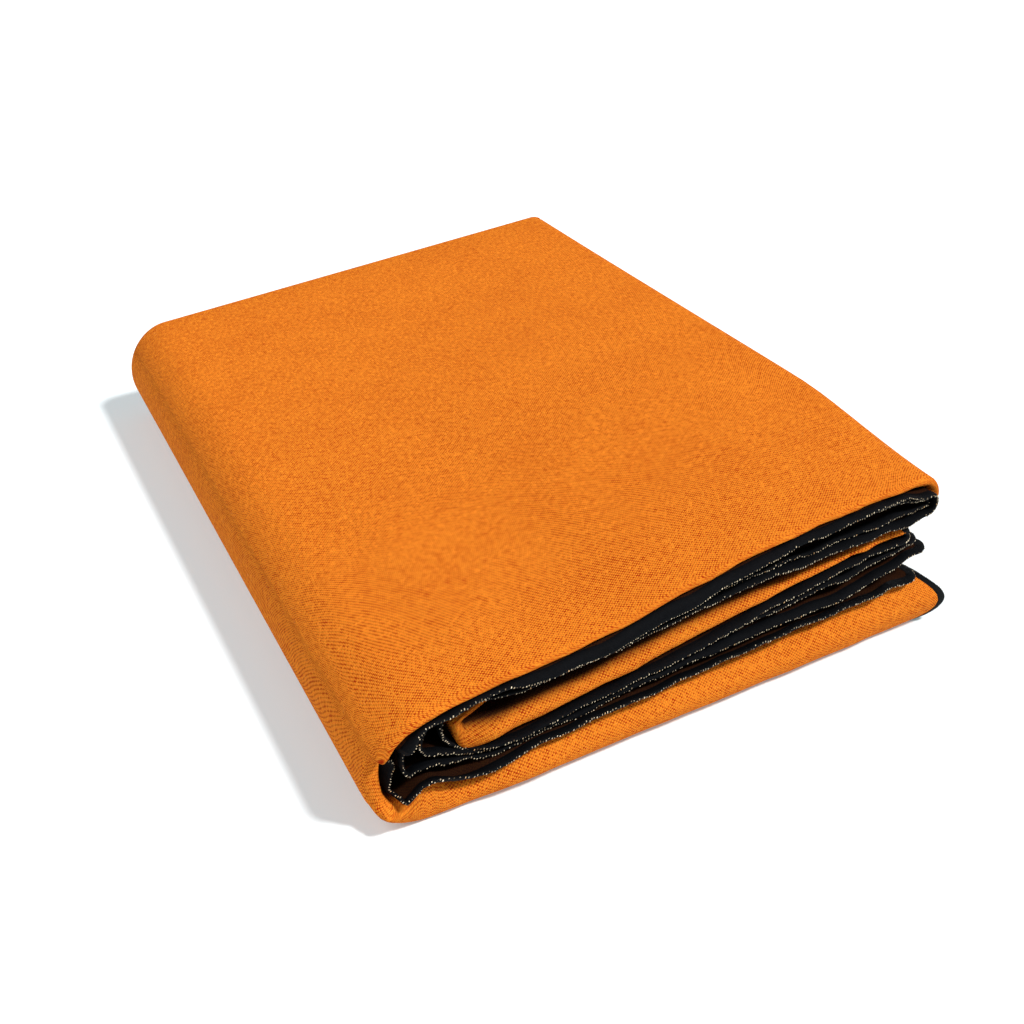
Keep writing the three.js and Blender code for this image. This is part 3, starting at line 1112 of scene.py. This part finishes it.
    def _round_corner(self, s: Array, r: Array) -> tuple[Array, Array]:
        """Rounds the four corners of the flat cloth.

        Args:
            s: Distances across the flat cloth.
            r: Distances through its depth.

        Returns:
            Both distances, with the corners drawn in.
        """
        width, height, radius = self.across.length, self.through.length, self.corner_radius
        out = []
        near_s = np.clip(1 - np.minimum(s, width - s) / radius, 0, 1)
        near_r = np.clip(1 - np.minimum(r, height - r) / radius, 0, 1)
        length = np.maximum(np.hypot(near_s, near_r), 1e-9)
        pull = (1 - np.maximum(near_s, near_r) / length) * radius
        for value, near, full in ((s, near_s, width), (r, near_r, height)):
            towards = np.where(value < full / 2, 1.0, -1.0)
            out.append(value + towards * pull * near)
        return out[0], out[1]

    def _waves(self, s: Array, y: Array, ply: Array) -> tuple[Array, Array]:
        """Makes the front edges a little uneven.

        Args:
            s: Distances across the flat cloth.
            y: Distances from the front.
            ply: Plies, counted from 0 for the innermost of a panel.

        Returns:
            Distances up and forward.
        """
        fade = 1 - smoothstep(y, 0, self.wave_reach)
        lift, forward = (
            sum(size * np.sin(s / length + turn * ply + phase) for size, length, turn, phase in waves)
            for waves in (LIFT_WAVES, FORWARD_WAVES)
        )
        return lift * fade, forward * fade

    def place(self, s: Array, r: Array) -> Array:
        """Finds where points of the flat cloth end up.

        Args:
            s: Distance across the flat cloth.
            r: Distance through its depth.

        Returns:
            Points on the middle of the cloth's thickness, in packet millimetres.
        """
        s, r = self._round_corner(s, r)
        y, offset, _, _ = self.through.at(r)
        point = self._settle_even(s, offset, y)
        ply = offset / self.pitch + 1.5
        wide = 1 - smoothstep(y, 4, self.spine_reach)
        narrow = np.clip(1 - y / self.curl_reach, 0.0, 1.0) ** 1.4
        low = np.clip(np.floor(ply).astype(int), 0, len(Ply) - 2)
        index = np.arange(len(s))
        for fade, (start, end, stations, table) in zip((wide, wide, narrow), self.turn_moves):
            share = (s - start) / (end - start)
            inside = ((share > 0) & (share < 1)).astype(float)
            for axis, k in ((0, 0), (2, 1)):
                moves = np.stack([np.interp(share, stations, table[i, :, k]) for i in range(len(Ply))])
                point[:, axis] += mix(moves[low, index], moves[low + 1, index], ply - low) * fade * inside
        lift, forward = self._waves(s, y, ply)
        loose = 1 - smoothstep(ply, *LOOSE_PLIES) * self.wave_keep
        point[:, 1] += forward * loose
        point[:, 2] += lift * loose
        point[:, 2] = np.maximum(point[:, 2], self.thickness / 2)
        return point

    def square_to(self, s: Array, r: Array) -> Array:
        """Finds the direction square to the cloth.

        Args:
            s: Distances across the flat cloth.
            r: Distances through its depth.

        Returns:
            Unit directions.
        """
        along = self.place(s + self.probe, r) - self.place(s - self.probe, r)
        down = self.place(s, r + self.probe) - self.place(s, r - self.probe)
        normal = np.cross(along, down)
        return normal / np.linalg.norm(normal, axis=1, keepdims=True)

    def crease(self, points: Array) -> Array:
        """Presses the creases into the cloth.

        Args:
            points: Points of the cloth.

        Returns:
            The moved points.
        """
        out = points.copy()
        for crease in CREASES:
            start, end = np.array(crease.start, float), np.array(crease.end, float)
            line = end - start
            share = np.clip(((points - start) @ line) / (line @ line), 0, 1)
            gap = np.linalg.norm(points - start - share[:, None] * line, axis=1)
            strength = np.exp(-((gap / crease.width) ** 2)) * (1 - 0.6 * share)
            out += strength[:, None] * np.array(crease.push)
        return out


# ---------- The pieces ----------


@dataclass
class ClothPanel:
    """The woven cloth, one thin sheet on the packet's folds."""

    packet: Packet
    under_edging: float = 1.2
    # Painted shade next to the cut edges, fading out with distance from them, and a painted shadow on the
    # upper part of the roll under the cut edges.
    lint_full: float = 22.0
    lint_reach: float = 48.0
    lint_share: float = 0.97
    roll_shade: tuple[float, float] = (0.58, 0.86)
    roll_shade_end: tuple[float, float] = (12, 25)
    roll_from: tuple[float, float] = (28, 42)
    roll_to: tuple[float, float] = (280, 305)
    cut_width: float = 1.32
    cut_length: float = 1.78

    def build(self, shift: Array) -> bpy.types.Object:
        """Makes and dresses the sheet.

        Args:
            shift: Move from packet millimetres to the frame's millimetres.

        Returns:
            The finished piece.
        """
        s_line = self._stations(self.packet.across)
        r_line = self._stations(self.packet.through)
        piece, column, row = grid_piece("woven_cloth", len(s_line) - 1, len(r_line) - 1)
        s, r = s_line[column], r_line[row]
        points = self.packet.place(s, r)
        points = self.packet.crease(points)
        place_vertices(piece, (points + shift) * MM)
        write_uv(piece, *self._lengths(points, column, row))
        # Stores the painted shade and painted shadow of every vertex for the cloth finish.
        layer = piece.data.attributes.new(SLOT_SHADE, "FLOAT", "POINT")
        layer.data.foreach_set("value", self._slot_shade(s, r).astype(np.float32))
        apply_modifier(piece, "SOLIDIFY", thickness=self.packet.thickness * MM, offset=0.0)
        shade_smooth(piece)
        piece.data.materials.append(ClothFinish().build())
        return piece

    def _slot_shade(self, s: Array, r: Array) -> Array:
        """Finds the painted shade next to the cut edges, which stands in for the deep shade in the slots,
        and the painted shadow on the roll that lies under them.

        Args:
            s: Distances across the flat cloth.
            r: Distances through its depth.

        Returns:
            Shares of painted shade, from 0 to 1.
        """
        # Painted shade next to the cut edges, standing in for the deep shade in the slots.
        gap = np.minimum(r, self.packet.through.length - r)
        beside = 1 - smoothstep(gap, self.lint_full, self.lint_reach)
        # Painted shadow on the upper part of the roll, under the overhanging cut edges.
        roll = self.packet.through.stretches[FRONT_FOLD]
        x = self.packet.panel_end - s
        round_roll = (r - roll.start) / roll.length
        past_roll = r - roll.start - roll.length
        upper = smoothstep(round_roll, *self.roll_shade) * (1 - smoothstep(past_roll, *self.roll_shade_end))
        under = upper * smoothstep(x, *self.roll_from) * (1 - smoothstep(x, *self.roll_to))
        return np.maximum(beside, under) * self.lint_share

    @staticmethod
    def _lengths(points: Array, column: Array, row: Array) -> tuple[Array, Array]:
        """Measures the settled cloth both ways.

        Args:
            points: Points of the cloth.
            column: Column of every vertex.
            row: Row of every vertex.

        Returns:
            Both lengths at every vertex, in metres.
        """
        grid = np.zeros((column.max() + 1, row.max() + 1, 3))
        grid[column, row] = points
        along = np.linalg.norm(np.diff(grid, axis=0, prepend=grid[:1]), axis=2).cumsum(axis=0)
        through = np.linalg.norm(np.diff(grid, axis=1, prepend=grid[:, :1]), axis=2).cumsum(axis=1)
        return along[column, row] * MM, through[column, row] * MM

    def _stations(self, line: FoldLine) -> Array:
        """Stations of a fold line, ending just inside the edging."""
        inner = [d for d in line.stations if self.under_edging < d < line.length - self.under_edging]
        return np.array([self.under_edging, *inner, line.length - self.under_edging])


@dataclass
class CutEdge:
    """The cloth's cut edge, once round, as distances on the flat cloth."""

    packet: Packet
    spacing: float
    fine_step: float = 0.25
    probe: float = 0.6

    def __post_init__(self) -> None:
        """Lays out places along the edge that end up evenly spaced on the folded cloth."""
        width, height = self.packet.across.length, self.packet.through.length
        s, r = [], []
        for start, end in (((0, 0), (1, 0)), ((1, 0), (1, 1)), ((1, 1), (0, 1)), ((0, 1), (0, 0))):
            length = width if start[1] == end[1] else height
            steps = round(length / self.fine_step)
            share = np.arange(steps) / steps
            s.append(mix(start[0], end[0], share) * width)
            r.append(mix(start[1], end[1], share) * height)
        fine_s, fine_r = (np.append(np.concatenate(v), 0.0) for v in (s, r))
        steps = np.linalg.norm(np.diff(self.packet.place(fine_s, fine_r), axis=0), axis=1)
        length = np.concatenate([[0.0], np.cumsum(steps)])
        count = round(length[-1] / self.spacing)
        even = np.arange(count) * length[-1] / count
        self.s, self.r = np.interp(even, length, fine_s), np.interp(even, length, fine_r)

    def inset(self, distance: float) -> tuple[Array, Array]:
        """Finds places in from the edge.

        Args:
            distance: How far in.

        Returns:
            Both distances on the flat cloth.
        """
        width, height = self.packet.across.length, self.packet.through.length
        keep = max(distance, 0.0)
        return np.clip(self.s, keep, width - keep), np.clip(self.r, keep, height - keep)

    def outward(self) -> Array:
        """Finds which way the edge faces, in the cloth's plane.

        Returns:
            Unit directions out of the cloth.
        """
        at_edge = self.packet.place(*self.inset(0.0))
        behind = self.packet.place(*self.inset(self.probe))
        out = at_edge - behind
        return out / np.maximum(np.linalg.norm(out, axis=1, keepdims=True), 1e-6)


@dataclass
class Overlock:
    """The black band of overlock threads that wraps the cut edge."""

    packet: Packet
    spacing: float = 1.4
    profile: tuple[tuple[float, float], ...] = (
        (-0.6, 0.0), (-0.3, 0.66), (0.7, 1.0), (2.3, 0.92), (4.1, 0.82), (4.6, 0.3),
        (4.6, -0.3), (4.1, -0.82), (2.3, -0.92), (0.7, -1.0), (-0.3, -0.66),
    )
    girth: tuple[float, ...] = (0, 0.7, 1.8, 3.4, 5.2, 5.9, 6.5, 7.1, 8.9, 10.5, 11.6, 12.3)
    swell: float = 0.05
    swell_turn: float = 2.4
    seam: float = 2e-6

    def build(self, shift: Array) -> bpy.types.Object:
        """Makes and dresses the band.

        Args:
            shift: Move from packet millimetres to the frame's millimetres.

        Returns:
            The finished piece.
        """
        edge = CutEdge(self.packet, self.spacing)
        outward = edge.outward()
        rings = []
        for inset, height in (*self.profile, self.profile[0]):
            s, r = edge.inset(inset)
            middle = self.packet.place(s, r) + outward * max(-inset, 0.0)
            swell = 1 + self.swell * np.sin(np.arange(len(s)) * self.swell_turn)
            rings.append(middle + self.packet.square_to(s, r) * (height * swell)[:, None])
        grid = np.stack(rings, axis=1)
        grid = np.concatenate([grid, grid[:1]])
        count, round_count = len(grid) - 1, len(rings) - 1
        piece, column, row = grid_piece("overlocked_edging", count, round_count)
        place_vertices(piece, above_floor(grid[column, row] + shift) * MM)
        write_uv(piece, column * self.spacing * MM, np.array(self.girth)[row] * MM)
        self._close(piece)
        shade_smooth(piece)
        piece.data.materials.append(EdgingFinish().build())
        return piece

    def _close(self, piece: bpy.types.Object) -> None:
        """Joins the seams of the band and turns its faces outwards.

        Args:
            piece: The band.
        """
        clear_selection()
        bpy.context.view_layer.objects.active = piece
        piece.select_set(True)
        bpy.ops.object.mode_set(mode="EDIT")
        bpy.ops.mesh.select_all(action="SELECT")
        bpy.ops.mesh.remove_doubles(threshold=self.seam)
        bpy.ops.mesh.normals_make_consistent(inside=False)
        bpy.ops.object.mode_set(mode="OBJECT")
        piece.select_set(False)


@dataclass
class NeedleThread:
    """The pale gold stitches that show where the threads meet on the rim of the edging."""

    packet: Packet
    spacing: float = 1.4
    rim: float = 0.98
    thread_radius: float = 0.27
    thickness: tuple[float, float] = (0.6, 1.25)
    bend: tuple[float, float] = (0.2, 0.5)
    tilt: float = 0.34
    slant: float = 0.12
    stray: float = 0.08
    sunk_share: float = 0.2
    sunk_depth: float = 0.4
    end_taper: float = 0.55
    rim_flatness: tuple[float, float] = (0.62, 1.02)
    ahead: float = 0.02
    cuts: tuple[float, float] = (-0.34, 0.34)
    shade_mean: float = 0.5
    shade_spread: float = 0.3
    seed: int = 11

    def build(self, shift: Array) -> bpy.types.Object:
        """Makes one stitch, repeats it along the edge and dresses it.

        Args:
            shift: Move from packet millimetres to the frame's millimetres.

        Returns:
            The finished piece.
        """
        edge = CutEdge(self.packet, self.spacing)
        count = len(edge.s)
        piece = self._one_stitch()
        each = len(piece.data.vertices)
        apply_modifier(piece, "ARRAY", count=count, use_relative_offset=False, use_constant_offset=True)
        flat = np.empty(len(piece.data.vertices) * 3)
        piece.data.vertices.foreach_get("co", flat)
        stitch = flat.reshape(count, each, 3)[0]
        place_vertices(piece, above_floor(self._lay(edge, stitch).reshape(-1, 3) + shift) * MM)
        self._shade(piece, count, each)
        shade_smooth(piece)
        piece.data.materials.append(NeedleThreadFinish().build())
        return piece

    def _one_stitch(self) -> bpy.types.Object:
        """Makes a short five-sided thread, cut into three along its length.

        Returns:
            The stitch.
        """
        clear_selection()
        bpy.ops.mesh.primitive_cylinder_add(vertices=5, radius=1.0, depth=2.0)
        piece = bpy.context.object
        piece.name = "needle_thread"
        piece.data.name = "needle_thread"
        bpy.ops.object.mode_set(mode="EDIT")
        for height in self.cuts:
            bpy.ops.mesh.select_all(action="SELECT")
            bpy.ops.mesh.bisect(plane_co=(0, 0, height), plane_no=(0, 0, 1))
        bpy.ops.object.mode_set(mode="OBJECT")
        return piece

    def _lay(self, edge: CutEdge, stitch: Array) -> Array:
        """Bends a copy of the stitch over the rim at every place of the edge.

        Args:
            edge: The cut edge.
            stitch: Points of the straight stitch.

        Returns:
            Points of every stitch.
        """
        rng = np.random.default_rng(self.seed)
        count = len(edge.s)
        s, r = edge.inset(0.0)
        middle, outward, square = self.packet.place(s, r), edge.outward(), self.packet.square_to(s, r)
        forward = np.cross(square, outward)
        tilt = rng.normal(0.0, self.tilt, count)
        half_turn = rng.uniform(*self.bend, count)
        size = self.thread_radius * rng.uniform(*self.thickness, count)
        sunk = (rng.random(count) < self.sunk_share) * self.sunk_depth
        stray = rng.normal(0, self.stray, count)
        wide, deep, along = stitch.T
        angle = tilt[:, None] + along[None] * half_turn[:, None]
        taper = np.sqrt(np.maximum(1.0 - self.end_taper * along**2, 0.0))
        lift = self.rim + wide[None] * taper * size[:, None] - sunk[:, None]
        slide = deep[None] * taper * size[:, None] + along[None] * self.slant + stray[:, None]
        flat_out, flat_up = self.rim_flatness
        out = (lift * np.cos(angle) * flat_out + self.ahead)[..., None] * outward[:, None, :]
        up = (lift * np.sin(angle) * flat_up)[..., None] * square[:, None, :]
        return middle[:, None, :] + out + up + slide[..., None] * forward[:, None, :]

    def _shade(self, piece: bpy.types.Object, count: int, each: int) -> None:
        """Gives every stitch its own lightness.

        Args:
            piece: All stitches.
            count: How many there are.
            each: Vertices of one stitch.
        """
        rng = np.random.default_rng(self.seed + 1)
        shade = np.clip(rng.normal(self.shade_mean, self.shade_spread, count), 0.0, 1.0)
        layer = piece.data.attributes.new(STITCH_SHADE, "FLOAT", "POINT")
        layer.data.foreach_set("value", np.repeat(shade, each).astype(np.float32))


@dataclass(frozen=True)
class Lamp:
    """A far lamp: where it stands, its strength and how wide it looks."""

    name: str
    stands: tuple[float, float, float]
    strength: float
    width_deg: float


@dataclass
class Studio:
    """White floor, a lamp from the right, a weak broad one from the left, room light, the camera."""

    lamps: tuple[Lamp, ...] = (
        Lamp("right_lamp", (0.42, -0.44, 0.79), 3.65, 8.0),
        Lamp("left_lamp", (-0.6, -0.12, 0.79), 1.25, 40.0),
    )
    room_light: float = 0.25
    camera_at: tuple[float, float, float] = (-0.28619, -0.58265, 0.42351)
    look_down_deg: float = 29.057
    look_right_deg: float = 27.702
    roll_deg: float = -0.881
    lens_mm: float = 43.69
    sensor_mm: float = 36.0
    shift_up: float = -0.0977
    floor_size: float = 14.0

    def build(self) -> None:
        """Builds floor, lights and camera."""
        self._floor()
        self._lights()
        self._camera()
        bpy.context.scene.view_settings.view_transform = "Standard"

    def _floor(self) -> None:
        """A wide white sheet under the packet."""
        clear_selection()
        bpy.ops.mesh.primitive_plane_add(size=self.floor_size, location=(0, 0, 0))
        floor = bpy.context.object
        floor.name = "floor"
        floor.data.materials.append(FloorFinish().build())

    def _lights(self) -> None:
        """The lamps and the room's even light."""
        for lamp in self.lamps:
            data = bpy.data.lights.new(lamp.name, "SUN")
            data.energy = lamp.strength
            data.angle = math.radians(lamp.width_deg)
            light = bpy.data.objects.new(lamp.name, data)
            light.rotation_mode = "QUATERNION"
            light.rotation_quaternion = Vector(lamp.stands).to_track_quat("Z", "Y")
            bpy.context.collection.objects.link(light)
        world = bpy.data.worlds.new("room")
        world.use_nodes = True
        background = world.node_tree.nodes["Background"]
        background.inputs["Strength"].default_value = self.room_light
        background.inputs["Color"].default_value = (1, 1, 1, 1)
        bpy.context.scene.world = world

    def _camera(self) -> None:
        """The camera, looking down over the front left corner."""
        down, turn, roll = map(math.radians, (self.look_down_deg, self.look_right_deg, self.roll_deg))
        level = math.cos(down)
        ahead = Vector((math.sin(turn) * level, math.cos(turn) * level, -math.sin(down)))
        right = Vector((math.cos(turn), -math.sin(turn), 0))
        up = right.cross(ahead)
        tilted_right = right * math.cos(roll) + up * math.sin(roll)
        tilted_up = up * math.cos(roll) - right * math.sin(roll)
        data = bpy.data.cameras.new("camera")
        data.lens = self.lens_mm
        data.sensor_width = self.sensor_mm
        data.shift_y = self.shift_up
        camera = bpy.data.objects.new("camera", data)
        aim = Matrix((tilted_right, tilted_up, -ahead)).transposed()
        camera.matrix_world = Matrix.Translation(self.camera_at) @ aim.to_4x4()
        bpy.context.collection.objects.link(camera)
        bpy.context.scene.camera = camera


def main() -> None:
    """Builds every piece in order and reports it."""
    logging.basicConfig(level=logging.INFO, format="%(message)s")
    packet = Packet()
    low, high = CAD_BOX
    spine_and_front = np.array([low[0] / MM, low[1] / MM, 0.0])
    panel = ClothPanel(packet)
    Studio().build()
    cloth = panel.build(spine_and_front)
    edging = Overlock(packet).build(spine_and_front)
    stitches = NeedleThread(packet).build(spine_and_front)
    for piece, slot in ((cloth, "cloth"), (edging, "edging"), (stitches, "needle_thread")):
        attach(piece, "root")
        log.info("%s: %d faces", piece.name, len(piece.data.polygons))
    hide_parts("cloth")
    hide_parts("edging")


if __name__ == "__main__":
    main()
